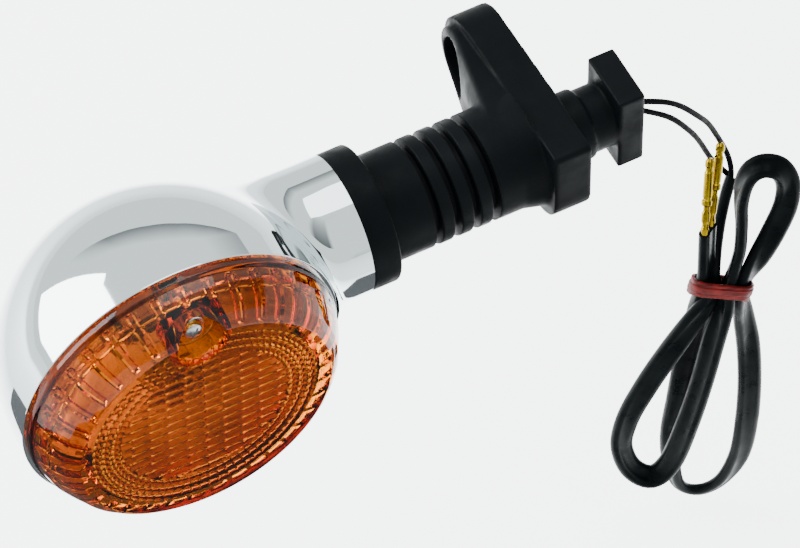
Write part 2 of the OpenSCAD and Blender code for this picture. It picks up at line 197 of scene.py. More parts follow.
def rounded(points, radius, steps=5, closed=False):
    """The polyline with its corners rounded, except where it is nearly straight."""
    points = [Vector(p) for p in points]
    count = len(points)
    result = []
    nearly_straight = math.radians(85)
    for i, p in enumerate(points):
        if not closed and i in (0, count - 1):
            result.append(p)
            continue
        before, after = points[i - 1] - p, points[(i + 1) % count] - p
        half = before.angle(after) / 2
        if half > nearly_straight:
            result.append(p)
            continue
        reach = min(radius / math.tan(half), before.length * 0.45, after.length * 0.45)
        start, end = p + before.normalized() * reach, p + after.normalized() * reach
        for k in range(steps + 1):
            t = k / steps
            result.append((1 - t) ** 2 * start + 2 * t * (1 - t) * p + t * t * end)
    return [tuple(p) for p in result]


def catmull(points, steps):
    """Smooth curve through the points, with that many steps from one to the next."""
    points = [Vector(p) for p in points]
    result = []
    for i in range(len(points) - 1):
        a, b = points[max(i - 1, 0)], points[i]
        c, d = points[i + 1], points[min(i + 2, len(points) - 1)]
        for k in range(steps):
            t = k / steps
            result.append(0.5 * (2 * b + (c - a) * t + (2 * a - 5 * b + 4 * c - d) * t * t
                                 + (3 * b - a - 3 * c + d) * t ** 3))
    return result + [points[-1]]


def relaxed(points, rounds):
    """The same path with its kinks evened out. Its ends stay where they are."""
    for _ in range(rounds):
        middle = [(a + 2 * b + c) / 4 for a, b, c in zip(points, points[1:], points[2:])]
        points = [points[0]] + middle + [points[-1]]
    return points


def directions(points, loop=False):
    """Unit direction of the path at each of its points."""
    count = len(points)
    if loop:
        return [(points[(i + 1) % count] - points[i - 1]).normalized() for i in range(count)]
    last = count - 1
    return [(points[min(i + 1, last)] - points[max(i - 1, 0)]).normalized() for i in range(count)]


def sweep(name, points, outline, sides, loop=False, sharp_angle=50):
    """Runs an outline along the points. sides holds the outline's first axis at each point."""
    verts = []
    for p, along, side in zip(points, directions(points, loop), sides):
        u = (side - along * side.dot(along)).normalized()
        v = along.cross(u)
        verts += [p + u * a + v * b for a, b in outline]
    count = len(outline)
    faces = grid_faces(len(points), count, wrap_rows=loop)
    if not loop:
        faces.append(tuple(reversed(range(count))))
        faces.append(tuple(range((len(points) - 1) * count, len(points) * count)))
    return piece(name, verts, faces, sharp_angle)


def carried_sides(points, first):
    """A side direction at each point that is carried along the path without twisting."""
    sides, side = [], Vector(first)
    for along in directions(points):
        side = (side - along * side.dot(along)).normalized()
        sides.append(side)
    return sides


def circle(radius, count):
    """Closed outline of a round wire."""
    return [(radius * math.cos(TURN * k / count), radius * math.sin(TURN * k / count))
            for k in range(count)]


def evaluated(obj, name):
    """The object with its modifiers applied, under a new name."""
    bpy.context.view_layer.update()
    depsgraph = bpy.context.evaluated_depsgraph_get()
    mesh = bpy.data.meshes.new_from_object(obj.evaluated_get(depsgraph))
    bpy.data.objects.remove(obj)
    mesh.name = name
    return new_object(name, mesh)


def boolean(obj, other, operation):
    """Cuts, joins or overlaps obj with other, and uses other up."""
    modifier = obj.modifiers.new("boolean", "BOOLEAN")
    modifier.operation = operation
    modifier.object = other
    modifier.solver = "MANIFOLD"
    result = evaluated(obj, obj.name)
    bpy.data.objects.remove(other)
    return result


def join(name, objects):
    """One object from several. They must all lie at the origin, unturned."""
    work = bmesh.new()
    for obj in objects:
        work.from_mesh(obj.data)
        bpy.data.objects.remove(obj)
    mesh = bpy.data.meshes.new(name)
    work.to_mesh(mesh)
    work.free()
    smooth(mesh)
    return new_object(name, mesh)


def blended(t):
    """Smooth step from 0 to 1 as t goes from 0 to 1."""
    t = min(max(t, 0), 1)
    return t * t * (3 - 2 * t)


# ---------------------------------------------------------------- materials


# Sockets of the Mix node when it mixes colours.
MIX_A, MIX_B, MIX_RESULT = 6, 7, 2


class Shader:
    """A Principled material and the few nodes that the object's finishes are made of."""

    def __init__(self, name, color, **values):
        self.material = bpy.data.materials.new(name)
        self.material.use_nodes = True
        self.tree = self.material.node_tree
        self.principled = self.tree.nodes["Principled BSDF"]
        self.principled.inputs["Base Color"].default_value = (*color, 1)
        for key, value in values.items():
            self.principled.inputs[key.replace("_", " ")].default_value = value
        self.place = self.node("ShaderNodeTexCoord").outputs["Object"]

    def node(self, kind, **settings):
        node = self.tree.nodes.new(kind)
        for key, value in settings.items():
            setattr(node, key, value)
        return node

    def link(self, source, target):
        self.tree.links.new(source, target)

    def noise(self, scale, detail=3, stretch=(1, 1, 1), roughness=0.5):
        """Noise in the object's own coordinates."""
        mapping = self.node("ShaderNodeMapping")
        mapping.inputs["Scale"].default_value = stretch
        texture = self.node("ShaderNodeTexNoise")
        texture.inputs["Scale"].default_value = scale
        texture.inputs["Detail"].default_value = detail
        texture.inputs["Roughness"].default_value = roughness
        self.link(self.place, mapping.inputs["Vector"])
        self.link(mapping.outputs["Vector"], texture.inputs["Vector"])
        return texture.outputs["Fac"]

    def spread(self, value, low, high, start=0.35, end=0.65):
        """Maps value from start..end to low..high."""
        node = self.node("ShaderNodeMapRange")
        self.link(value, node.inputs["Value"])
        node.inputs["From Min"].default_value = start
        node.inputs["From Max"].default_value = end
        node.inputs["To Min"].default_value = low
        node.inputs["To Max"].default_value = high
        return node.outputs["Result"]

    def roughness(self, value, low, high, start=0.35, end=0.65):
        """Roughness that varies from low to high with value."""
        self.link(self.spread(value, low, high, start, end), self.principled.inputs["Roughness"])

    def tint(self, value, low, high, start=0.35, end=0.65):
        """Base colour that varies from low to high with value."""
        mix = self.node("ShaderNodeMix", data_type="RGBA")
        self.link(self.spread(value, 0, 1, start, end), mix.inputs["Factor"])
        mix.inputs[MIX_A].default_value = (*low, 1)
        mix.inputs[MIX_B].default_value = (*high, 1)
        self.link(mix.outputs[MIX_RESULT], self.principled.inputs["Base Color"])

    def bump(self, value, strength, distance, chain=None):
        """Adds a bump of that value, on top of the bump given as chain."""
        node = self.node("ShaderNodeBump")
        node.inputs["Strength"].default_value = strength
        node.inputs["Distance"].default_value = distance
        self.link(value, node.inputs["Height"])
        if chain is not None:
            self.link(chain, node.inputs["Normal"])
        self.link(node.outputs["Normal"], self.principled.inputs["Normal"])
        return node.outputs["Normal"]


def chrome_material():
    """Chrome plate with faint smudges."""
    s = Shader("chrome", (0.84, 0.93, 0.94), Metallic=1.0)
    smudges = s.noise(35, detail=5)
    s.roughness(smudges, 0.03, 0.10, 0.4, 0.75)
    s.bump(s.noise(60, detail=2), 0.05, 0.0002)
    return s.material


def amber_material():
    """Amber acrylic that is deeper in colour where it is thicker."""
    s = Shader("amber_lens", (1.0, 0.52, 0.01), IOR=1.45, Transmission_Weight=1.0,
               Specular_IOR_Level=0.03)
    s.roughness(s.noise(80, detail=4), 0.02, 0.08, 0.4, 0.8)
    s.bump(s.noise(400, detail=2), 0.04, 0.0002)
    depth = s.node("ShaderNodeVolumeAbsorption")
    depth.inputs["Color"].default_value = (0.98, 0.72, 0.0, 1)
    depth.inputs["Density"].default_value = 330
    s.link(depth.outputs["Volume"], s.tree.nodes["Material Output"].inputs["Volume"])
    return s.material


def reflector_material():
    """Silvered plastic of the reflector, a little hazy."""
    s = Shader("reflector_silver", (0.62, 0.63, 0.64), Metallic=1.0)
    s.roughness(s.noise(120, detail=4), 0.10, 0.22)
    s.bump(s.noise(900), 0.05, 0.0002)
    return s.material


def rubber_material():
    """Black rubber with a fine grain and a slightly uneven surface."""
    s = Shader("stem_rubber", (0.003, 0.004, 0.005), Specular_IOR_Level=0.05)
    wear = s.noise(45, detail=6, roughness=0.6)
    s.tint(wear, (0.0025, 0.0035, 0.0042), (0.005, 0.0065, 0.0075), 0.3, 0.75)
    s.roughness(s.noise(160, detail=5), 0.36, 0.58)
    grain = s.bump(s.noise(2600, detail=3), 0.22, 0.0001)
    s.bump(s.noise(120, detail=3), 0.12, 0.0004, grain)
    return s.material


def insulation_material():
    """Thin insulation of the single wires."""
    s = Shader("wire_black", (0.003, 0.003, 0.004), Specular_IOR_Level=0.02)
    s.roughness(s.noise(300, detail=4), 0.55, 0.72)
    s.bump(s.noise(1500), 0.10, 0.0001)
    return s.material


def sleeve_material():
    """Black vinyl of the twin sleeve, smoother than the stem."""
    s = Shader("sleeve_black", (0.003, 0.003, 0.004), Specular_IOR_Level=0.035)
    s.tint(s.noise(90, detail=5), (0.002, 0.003, 0.0035), (0.004, 0.0055, 0.006))
    s.roughness(s.noise(220, detail=5), 0.26, 0.42)
    s.bump(s.noise(700, detail=3), 0.12, 0.0002)
    return s.material


def band_material():
    """Red rubber band, streaked where it is stretched."""
    s = Shader("band_red", (0.20, 0.01, 0.01), Specular_IOR_Level=0.1)
    s.tint(s.noise(260, detail=4, stretch=(1, 1, 5)), (0.05, 0.003, 0.003), (0.17, 0.010, 0.008))
    s.roughness(s.noise(300, detail=4), 0.40, 0.60)
    s.bump(s.noise(900, detail=3), 0.25, 0.0002)
    return s.material


def metal_material(name, color, rough, dull=None):
    """Metal with dull patches and fine scratches along its length."""
    s = Shader(name, color, Metallic=1.0)
    s.tint(s.noise(300, detail=5), color, dull or tuple(0.8 * c for c in color), 0.45, 0.8)
    s.roughness(s.noise(500, detail=5), *rough)
    s.bump(s.noise(900, detail=3, stretch=(1, 1, 0.2)), 0.12, 0.0001)
    return s.material


def plastic_material(name, color, rough):
    """Moulded plastic or foam with uneven colour."""
    s = Shader(name, color)
    s.tint(s.noise(200, detail=4), color, tuple(0.75 * c for c in color))
    s.roughness(s.noise(260, detail=4), *rough)
    s.bump(s.noise(1200), 0.1, 0.0001)
    return s.material


def glass_material():
    """Clear glass of the bulb."""
    s = Shader("clear_glass", (0.98, 0.99, 0.99), Roughness=0.01, IOR=1.5, Transmission_Weight=1.0)
    s.roughness(s.noise(60, detail=4), 0.0, 0.05, 0.4, 0.8)
    s.bump(s.noise(90), 0.02, 0.0002)
    return s.material


chrome = chrome_material()
amber = amber_material()
silver = reflector_material()
rubber = rubber_material()
insulation = insulation_material()
sleeve_black = sleeve_material()
band_red = band_material()
clear = glass_material()
brass = metal_material("bullet_brass", (0.42, 0.28, 0.012), (0.16, 0.30), dull=(0.24, 0.14, 0.01))
steel = metal_material("screw_steel", (0.66, 0.67, 0.66), (0.16, 0.34))
socket_steel = metal_material("socket_steel", (0.60, 0.61, 0.62), (0.24, 0.42))
cap_brass = metal_material("cap_brass", (0.72, 0.58, 0.32), (0.25, 0.42))
contact_brass = metal_material("contact_brass", (0.80, 0.60, 0.28), (0.2, 0.36))
solder = metal_material("solder", (0.58, 0.58, 0.57), (0.35, 0.5))
tungsten = metal_material("filament_wire", (0.30, 0.30, 0.32), (0.4, 0.55))
foam = plastic_material("gasket_foam", (0.02, 0.02, 0.02), (0.75, 0.95))
phenolic = plastic_material("phenolic", (0.22, 0.10, 0.045), (0.4, 0.6))
black_glass = plastic_material("black_glass", (0.02, 0.02, 0.02), (0.1, 0.2))


def finish_piece(obj, material, body, slot, *nodes):
    """Gives a new piece its finish and its body, in place of the CAD nodes named.

    body is None where the piece is left without a body.
    """
    obj.data.materials.clear()
    obj.data.materials.append(material)
    if nodes:
        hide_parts(*nodes)
    if body:
        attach(obj, body)
    return obj


# ---------------------------------------------------------------- wires, sleeve and bullets

wire_d = 1.6 * MM
sleeve_w = 6.8 * MM
sleeve_t = 3.2 * MM
lobe_gap = (sleeve_w - sleeve_t) / 2

# Takes across, back and up in the hank to the shared frame.
HANK = Matrix.Translation(Vector((50 * MM, stem_y, 0))) @ Matrix.Rotation(math.radians(-27), 4, "Z")

# Routes of the two wires from inside the plug to the mouth of the sleeve, in metres.
HOT_ROUTE = [
    (0.0126, -0.031, 0.0012), (0.0205, -0.031, 0.0005), (0.025, -0.031, -0.0025),
    (0.031, -0.0305, -0.0065), (0.036, -0.0295, -0.012), (0.0405, -0.028, -0.019),
    (0.045, -0.0255, -0.0275), (0.0495, -0.0225, -0.036), (0.054, -0.018, -0.047),
    (0.058, -0.0145, -0.0575), (0.061, -0.0135, -0.0655), (0.0625, -0.0145, -0.071),
    (0.0615, -0.0175, -0.0745),
]
GROUND_ROUTE = [
    (0.0126, -0.031, -0.0012), (0.0205, -0.031, -0.002), (0.025, -0.031, -0.0065),
    (0.0315, -0.0305, -0.0125), (0.036, -0.0295, -0.019), (0.0405, -0.028, -0.0275),
    (0.0445, -0.025, -0.036), (0.0495, -0.020, -0.0485), (0.0535, -0.016, -0.059),
    (0.0565, -0.014, -0.067), (0.059, -0.014, -0.072), (0.061, -0.015, -0.075),
    (0.062, -0.016, -0.0765),
]

# Route of the flat sleeve in the hank (across, back, up, in millimetres) and how far its
# flat side turns towards the front there, in degrees.
SLEEVE_START = [
    (4, 18, -75.5, 0), (2.5, 14.5, -78.5, 0), (1, 10, -83.5, 0), (0, 6, -89.5, 0),
    (-0.5, 2.5, -96, 0), (-0.5, 0.5, -102.5, 10),
]
LOOP_A = [
    (-2.5, -1.5, -107, 35), (-7, -3, -115.5, 60), (-13, -3, -130.5, 80), (-18.5, -3, -145.5, 80),
    (-23, -3, -160.5, 70), (-24.5, -3, -174, 65), (-21.5, -3, -185.5, 75), (-15.5, -3, -190, 85),
    (-10.3, -3, -182, 85), (-6.2, -3, -163.5, 75), (-2.8, -3, -143, 70), (0, -3, -122, 70),
    (2.5, -2, -108.5, 40), (3.5, -0.5, -100.5, 15),
]
TEARDROP = [
    (5, 0, -92, 0), (6, 0, -83, 0), (6, 0, -73, 0), (5.5, 0, -62.5, 10), (6, 0, -54, 35),
    (8, 0, -48.5, 60), (11.5, 0, -46.2, 75), (15.5, 0, -48, 85), (17.8, 0, -54.5, 90),
    (17.5, 0, -64, 90), (15, 0, -75, 85), (11.5, 0, -87, 60), (8, 0, -98, 15),
]
LOOP_B = [
    (7, 0.5, -106, 20), (8, 2, -117, 55), (10, 3, -133, 85), (11, 3, -150, 90),
    (11, 3, -168.5, 85), (9.5, 3, -187.5, 55), (5, 3, -200.5, 15), (-1.5, 3, -206, 5),
    (-7.5, 3, -202.5, 5), (-10, 3, -190, 35), (-10.2, 3, -177, 65), (-8.9, 3, -161.5, 85),
    (-7.6, 3, -146, 92), (-5.4, 3, -128, 95), (-4, 1.5, -113, 100),
]
SLEEVE_END = [(-3, 0, -103, 122), (-2.8, 0, -95, 140), (-3, 0.5, -85, 150), (-3, 1, -76, 150)]
SLEEVE_ROUTE = SLEEVE_START + LOOP_A + TEARDROP + LOOP_B + SLEEVE_END

BULLET_DIR = Vector((2, 13.7, 16.3))
BULLET_SPLAY = Vector((0.5, 0, 0))


def sleeve_path():
    """The sleeve's smooth centreline, and the direction of its wide side at each point."""
    steps = 6
    line = catmull([p[:3] for p in SLEEVE_ROUTE], steps)
    turns = [v.x for v in catmull([(p[3], 0, 0) for p in SLEEVE_ROUTE], steps)]
    to_front = Vector((0, -0.58, 0.81))
    wide = []
    for along, turn in zip(directions(line), turns):
        edge = (to_front - along * to_front.dot(along)).normalized()
        face = along.cross(edge)
        angle = math.radians(turn)
        wide.append(math.cos(angle) * edge + math.sin(angle) * face)
    rotate = HANK.to_3x3()
    return [HANK @ (p * MM) for p in line], [rotate @ w for w in wide]


def steady(wide):
    """Keeps the wide side from flipping over from one point to the next."""
    result = [wide[0]]
    for w in wide[1:]:
        result.append(w if w.dot(result[-1]) >= 0 else -w)
    return result


def sleeve_outline(count=14):
    """Figure of eight: two touching lobes joined by a web, wide along the first axis."""
    lobe = sleeve_t / 2
    points = []
    for side in (1, -1):
        for k in range(count):
            angle = math.radians(-125 + 250 * k / (count - 1))
            wide, thick = lobe_gap + lobe * math.cos(angle), lobe * math.sin(angle)
            points.append((side * wide, side * thick))
    return points


def make_wires(line, wide):
    """Each wire runs from the plug through its lobe of the sleeve to its bullet."""
    made = []
    mouth, settling = 3, 3  # sleeve points before the wires start, and points evened out after
    for name, route, side in (("lead_hot", HOT_ROUTE, 1), ("lead_ground", GROUND_ROUTE, -1)):
        inside = [p + w * side * lobe_gap for p, w in zip(line[mouth:], wide[mouth:])]
        route = [Vector(p) for p in route]
        free = catmull(route + [inside[0]], 6)[:-1] + inside[:settling]
        points = relaxed(free, 24) + inside[settling:]
        sides = carried_sides(points, (0, 1, 0))
        obj = sweep(name + "_wire", points, circle(wire_d / 2, 10), sides)
        made.append((obj, points, name))
    return made


def make_bullets(line, wide):
    """Brass bullet terminals on the wires' ends: crimp ears, collar, pin and rounded tip."""
    made = []
    rotate = HANK.to_3x3()
    for name, place, crimp, length in (("bullet_hot", 1, 10, 23), ("bullet_ground", -1, 8, 21)):
        centre = line[-1] + wide[-1] * place * lobe_gap
        axis = rotate @ (BULLET_DIR + place * BULLET_SPLAY).normalized()
        side = Vector((0, 0, 1)).cross(axis).normalized()
        other = axis.cross(side)
        profile = rounded([
            (0, -0.6), (0.95, -0.6), (1.15, 1.2), (0.9, 2.0), (0.9, 2.8), (1.15, 3.4),
            (1.15, crimp - 2.4), (0.85, crimp - 1.6), (0.85, crimp - 0.6),
            (1.45, crimp), (1.45, crimp + 1.2), (1.1, crimp + 1.6), (1.3, crimp + 2.2),
            (1.3, length - 4.2), (1.0, length - 3.6), (1.0, length - 2.8), (1.3, length - 2.2),
            (1.25, length - 1.0), (0.75, length - 0.15), (0, length),
        ], 0.25, steps=3)

        def turned(r, turn, along):
            # The crimp ears are squeezed flat.
            crimped = 0.8 + 0.2 * abs(math.cos(turn)) if 3 < along < crimp - 2 else 1
            out = side * math.cos(turn) + other * math.sin(turn) * crimped
            return centre + (axis * along + out * r) * MM

        made.append((lathe(name + "_brass", profile, turned, steps=32), name))
    return made


def band_outline(grow):
    """Closed path round the bundle in the band's own plane: across and back, in millimetres."""
    across, back, corner = 7.5 + grow, 3.3 + grow, 2.6 + grow
    points = []
    for quarter in range(4):
        cx = (across - corner) * (1 if quarter in (0, 3) else -1)
        cy = (back - corner) * (1 if quarter in (0, 1) else -1)
        for k in range(9):
            angle = math.radians(90 * quarter + 90 * k / 8)
            points.append((cx + corner * math.cos(angle), cy + corner * math.sin(angle)))
    return points


def make_band():
    """Elastic band in three strands that cross over a little."""
    centre, tilt = Vector((1.2, 0, -102)), math.radians(10)
    turned = Matrix.Rotation(tilt, 3, "Y")
    strands = []
    width, thick, slope = 2.5, 0.9, 0.9
    outline = rounded([(width / 2, thick / 2), (-width / 2, thick / 2), (-width / 2, -thick / 2),
                       (width / 2, -thick / 2)], 0.3, steps=3, closed=True)
    outline = [(a * MM, b * MM) for a, b in outline]
    strands_at = [(2.1, 0.55, 0.3), (0.1, 0.8, 2.2), (-2.0, 0.6, 4.0)]
    for number, (height, grow, phase) in enumerate(strands_at):
        flat = band_outline(grow)
        points, ups = [], []
        for k, (u, w) in enumerate(flat):
            turn = TURN * k / len(flat)
            lift = height + 0.35 * math.sin(turn + phase) + 0.12 * math.sin(5 * turn + number)
            points.append(HANK @ ((centre + turned @ Vector((u, w, lift - slope * w))) * MM))
            ups.append(HANK.to_3x3() @ (turned @ Vector((0, 0, 1))))
        strands.append(sweep(f"strand_{number}", points, outline, ups, loop=True, sharp_angle=60))
    return join("tie_band_strands", strands)


sleeve_line, sleeve_wide = sleeve_path()
sleeve_wide = steady(sleeve_wide)
sleeve = sweep("flat_sleeve", sleeve_line, sleeve_outline(), sleeve_wide)
finish_piece(sleeve, sleeve_black, "mount", "sleeve_black",
             "sleeve_start", "sleeve_hank", "sleeve_tail")
for bullet, bullet_node in make_bullets(sleeve_line, sleeve_wide):
    finish_piece(bullet, brass, "mount", "bullet_brass", bullet_node)
tie_band = finish_piece(make_band(), band_red, "mount", "band_red", "tie_band")
for wire, wire_path, wire_node in make_wires(sleeve_line, sleeve_wide):
    finish_piece(wire, insulation, "mount", "wire_black", wire_node)

# ---------------------------------------------------------------- lens

FLUTES = 36
face_r = 34 * MM
lens_t = 2 * MM


def outer_profile():
    """Outside of the lens from the middle of its face to the back of its rim."""
    # Radius and distance behind the face, in millimetres.
    corners = [(35, 0.2), (36.5, 1.2), (38, 2.7), (40, 6.2), (41.5, 9.2), (42.3, 12.2)]
    side = [(r * MM, lens_front + d * MM) for r, d in corners]
    return rounded([(0, lens_front)] + side + [(lens_r, -2.2 * MM), (lens_r, 0)], 1.2 * MM, steps=4)


def ridge(distance, half_width, soft):
    """1 on a ridge, falling to 0 over soft beyond half_width."""
    return 1 - blended((abs(distance) - half_width) / soft)


def pillow(u, v):
    """Height of a prism cell that is curved along v and falls off only at its ends along u."""
    return (1 - 0.4 * u ** 6) * (1 - v * v)


def cell(value, pitch):
    """Place within a cell of that pitch, from -1 to 1."""
    return 2 * (value / pitch - math.floor(value / pitch)) - 1


def inner_height(radius, turn):
    """How far the prisms stand in from the plain inside of the lens."""
    ring_edge = 23.5 * MM
    if radius < ring_edge:
        across, up = radius * math.sin(turn), radius * math.cos(turn)
        return 1.4 * MM * pillow(cell(across, 5.1 * MM), cell(up, 3.4 * MM))
    if radius < face_r - 2.6 * MM:
        ring = (radius - ring_edge) / (2.65 * MM)
        return 1.25 * MM * pillow(cell(turn * 2 * FLUTES / TURN, 1), cell(ring, 1))
    return 0


def band_height(along, turn):
    """Ribs inside the side of the lens. along runs from its rim (0) to its face (1)."""
    from_rib = (turn * FLUTES / TURN + 0.5) % 1 - 0.5
    rib = ridge(from_rib * TURN / FLUTES * 40 * MM, 0.7 * MM, 0.6 * MM)
    ring = ridge(along - 0.27, 0.035, 0.05)
    fade = blended(along / 0.06) * blended((1 - along) / 0.06)
    return 1.6 * MM * max(rib, 0.6 * ring) * fade


def lens_shell():
    """Closed lens solid before the screw pocket is cut, with its prisms on the inside."""
    steps = FLUTES * 12
    outer = outer_profile()
    outside = []
    for (r0, d0), (r1, d1) in zip(outer, outer[1:]):
        count = max(1, round(math.hypot(r1 - r0, d1 - d0) / (2.5 * MM)))
        outside += [(r0 + (r1 - r0) * k / count, d0 + (d1 - d0) * k / count) for k in range(count)]
    outside.append(outer[-1])
    rows = [[in_lamp(r, TURN * k / steps, d) for k in range(steps)] for r, d in outside]
    back = rounded([(lens_r, 0), (lip_r, 0), (lip_r, lip_len), (lip_r - lens_t, lip_len),
                    (lip_r - lens_t, -1.2 * MM)], 0.3 * MM, steps=2)[1:]
    rows += [[in_lamp(r, TURN * k / steps, d) for k in range(steps)] for r, d in back]
    side = catmull([(lip_r - lens_t, -1.6 * MM, 0), (38.7 * MM, -6 * MM, 0),
                    (36.6 * MM, -9.6 * MM, 0), (33.2 * MM, lens_front + 2.8 * MM, 0)], 9)
    for i, (p, slope) in enumerate(zip(side, directions(side))):
        inward = Vector((slope.y, -slope.x))
        if inward.x > 0:
            inward = -inward
        row = []
        for k in range(steps):
            turn = TURN * k / steps
            height = band_height(i / (len(side) - 1), turn)
            row.append(in_lamp(p.x + inward.x * height, turn, p.y + inward.y * height))
        rows.append(row)
    face_rows = 72
    top = face_r - 2.6 * MM
    for i in range(face_rows):
        r = top * (1 - i / face_rows)
        plain = lens_front + 2.2 * MM
        rows.append([in_lamp(r, TURN * k / steps, plain + inner_height(r, TURN * k / steps))
                     for k in range(steps)])
    rows.append([in_lamp(0, 0, lens_front + 2.2 * MM)] * steps)
    verts = [v for row in rows for v in row]
    return piece("lens_amber", verts, grid_faces(len(rows), steps), 40)


def screw_place(radius, turn, depth):
    """Point about the lens screw's axis."""
    return Vector((lamp_x + radius * math.sin(turn), rim_y + depth,
                   screw_up + radius * math.cos(turn)))


def plug_solid(name, radius, start, end):
    """Solid cylinder on the screw's axis, for joining and cutting."""
    return lathe(name, [(0, start), (radius, start), (radius, end), (0, end)], screw_place, 64)


def make_lens():
    """Lens with its prisms, screw pocket, drain notch and locating tab."""
    cup_r, pocket_r, hole_r = 8.5 * MM, 6.9 * MM, 1.7 * MM
    notch_half, tab_half = 4.5 * MM, 4 * MM
    lens = lens_shell()
    inset = [(r * 0.999, d + 0.05 * MM) for r, d in outer_profile()]
    envelope = lathe("envelope", inset + [(0, 0)], in_lamp, 144)
    cup = plug_solid("cup", cup_r, lens_front - 2 * MM, pocket_floor + 2 * MM)
    cup = boolean(cup, envelope, "INTERSECT")
    lens = boolean(lens, cup, "UNION")
    hollow_profile = rounded([(0, lens_front - 5 * MM), (pocket_r, lens_front - 5 * MM),
                              (pocket_r, pocket_floor), (0, pocket_floor)], 0.6 * MM)
    lens = boolean(lens, lathe("hollow", hollow_profile, screw_place, 64), "DIFFERENCE")
    lens = boolean(lens, plug_solid("hole", hole_r, lens_front, 4 * MM), "DIFFERENCE")
    notch_lo = Vector((lamp_x - notch_half, lens_lo.y - 2 * MM, -43 * MM))
    notch_hi = Vector((lamp_x + notch_half, lens_lo.y + 3.2 * MM, -36.2 * MM))
    lens = boolean(lens, box_piece("notch", notch_lo, notch_hi, 0.5 * MM), "DIFFERENCE")
    tab_lo = Vector((lamp_x - tab_half, rim_y, lens_lo.z))
    tab_hi = Vector((lamp_x + tab_half, rim_y + 3 * MM, lens_lo.z + 2.2 * MM))
    return join("lens_amber", [lens, box_piece("tab", tab_lo, tab_hi, 0.4 * MM)])


def box_piece(name, low, high, bevel):
    """Box with its edges rounded."""
    work = bmesh.new()
    bmesh.ops.create_cube(work, size=1)
    size, middle = high - low, (high + low) / 2
    bmesh.ops.transform(work, matrix=Matrix.Translation(middle) @ Matrix.Diagonal((*size, 1)),
                        verts=work.verts)
    bmesh.ops.bevel(work, geom=work.edges[:], offset=bevel, segments=3, profile=0.5, affect="EDGES")
    mesh = bpy.data.meshes.new(name)
    work.to_mesh(mesh)
    work.free()
    smooth(mesh)
    return new_object(name, mesh)


finish_piece(make_lens(), amber, "lens", "amber_lens", "lens")

# ---------------------------------------------------------------- lens screw


def make_screw():
    """Pan-head screw with a cross recess and a threaded shank."""
    head_r = (screw_hi.x - screw_lo.x) / 2
    top, under, tip = screw_lo.y - rim_y, washer_lo.y - rim_y, screw_hi.y - rim_y
    profile = [(0, top)]
    for k in range(1, 7):
        angle = math.radians(90 * k / 6)
        profile.append((head_r * math.sin(angle), top + 1.0 * MM * (1 - math.cos(angle))))
    profile += [(head_r, under - 0.2 * MM), (head_r - 0.2 * MM, under), (1.5 * MM, under)]
    pitch = 0.5 * MM
    depth = under + 0.6 * MM
    while depth + pitch < tip - 0.5 * MM:
        profile += [(1.5 * MM, depth), (1.28 * MM, depth + pitch / 2)]
        depth += pitch
    profile += [(1.2 * MM, tip), (0, tip)]
    screw = lathe("lens_screw_steel", profile, screw_place, 48)
    for k in range(2):
        slot_lo, slot_hi = Vector((-1.75, -0.6, -0.32)) * MM, Vector((1.75, 1.1, 0.32)) * MM
        slot = box_piece("slot", slot_lo, slot_hi, 0.12 * MM)
        slot.data.transform(Matrix.Rotation(math.radians(28 + 90 * k), 4, "Y"))
        slot.data.transform(Matrix.Translation((lamp_x, rim_y + top, screw_up)))
        screw = boolean(screw, slot, "DIFFERENCE")
    smooth(screw.data, 30)
    return screw


finish_piece(make_screw(), steel, "screw", "screw_steel", "lens_screw")
washer_profile = rounded([
    (1.6 * MM, washer_lo.y - rim_y), (3.6 * MM, washer_lo.y - rim_y),
    (3.6 * MM, washer_hi.y - rim_y), (1.6 * MM, washer_hi.y - rim_y),
], 0.12 * MM, steps=2, closed=True)
finish_piece(lathe("screw_washer_steel", washer_profile, screw_place, 48, closed=True), steel,
             "screw_slide", "screw_steel", "screw_washer")

# ---------------------------------------------------------------- chrome housing

post_r = 4 * MM
thread_r = 1.55 * MM

def bowl_distance(p):
    """Signed distance to the bowl: a hemisphere with a straight skirt towards the rim."""
    depth = p.y - rim_y - bowl_skirt
    return math.hypot(p.x - lamp_x, p.z, max(depth, 0)) - bowl_r


def neck_distance(p):
    """Signed distance to the neck, which widens a little towards the bowl."""
    flare = blended((neck_end_x - 4 * MM - p.x) / (34 * MM))
    beside = math.hypot(p.y - stem_y, p.z) - neck_r - 0.9 * MM * flare
    return max(beside, lamp_x - p.x)


def shell_distance(p):
    """Bowl and neck run together in a fillet."""
    a, b = bowl_distance(p), neck_distance(p)
    fillet = 8 * MM
    h = max(fillet - abs(a - b), 0) / fillet
    return min(a, b) - h * h * fillet / 4


def outward(p):
    """Direction in which shell_distance grows."""
    step = 0.02 * MM
    return Vector([
        shell_distance(p + step * axis) - shell_distance(p - step * axis)
        for axis in (Vector((1, 0, 0)), Vector((0, 1, 0)), Vector((0, 0, 1)))
    ]).normalized()


def reach(origin, direction):
    """Distance from origin to the shell's surface along direction."""
    low, high = 0, 0.12
    for _ in range(26):
        middle = (low + high) / 2
        if shell_distance(origin + middle * direction) < 0:
            low = middle
        else:
            high = middle
    return (low + high) / 2


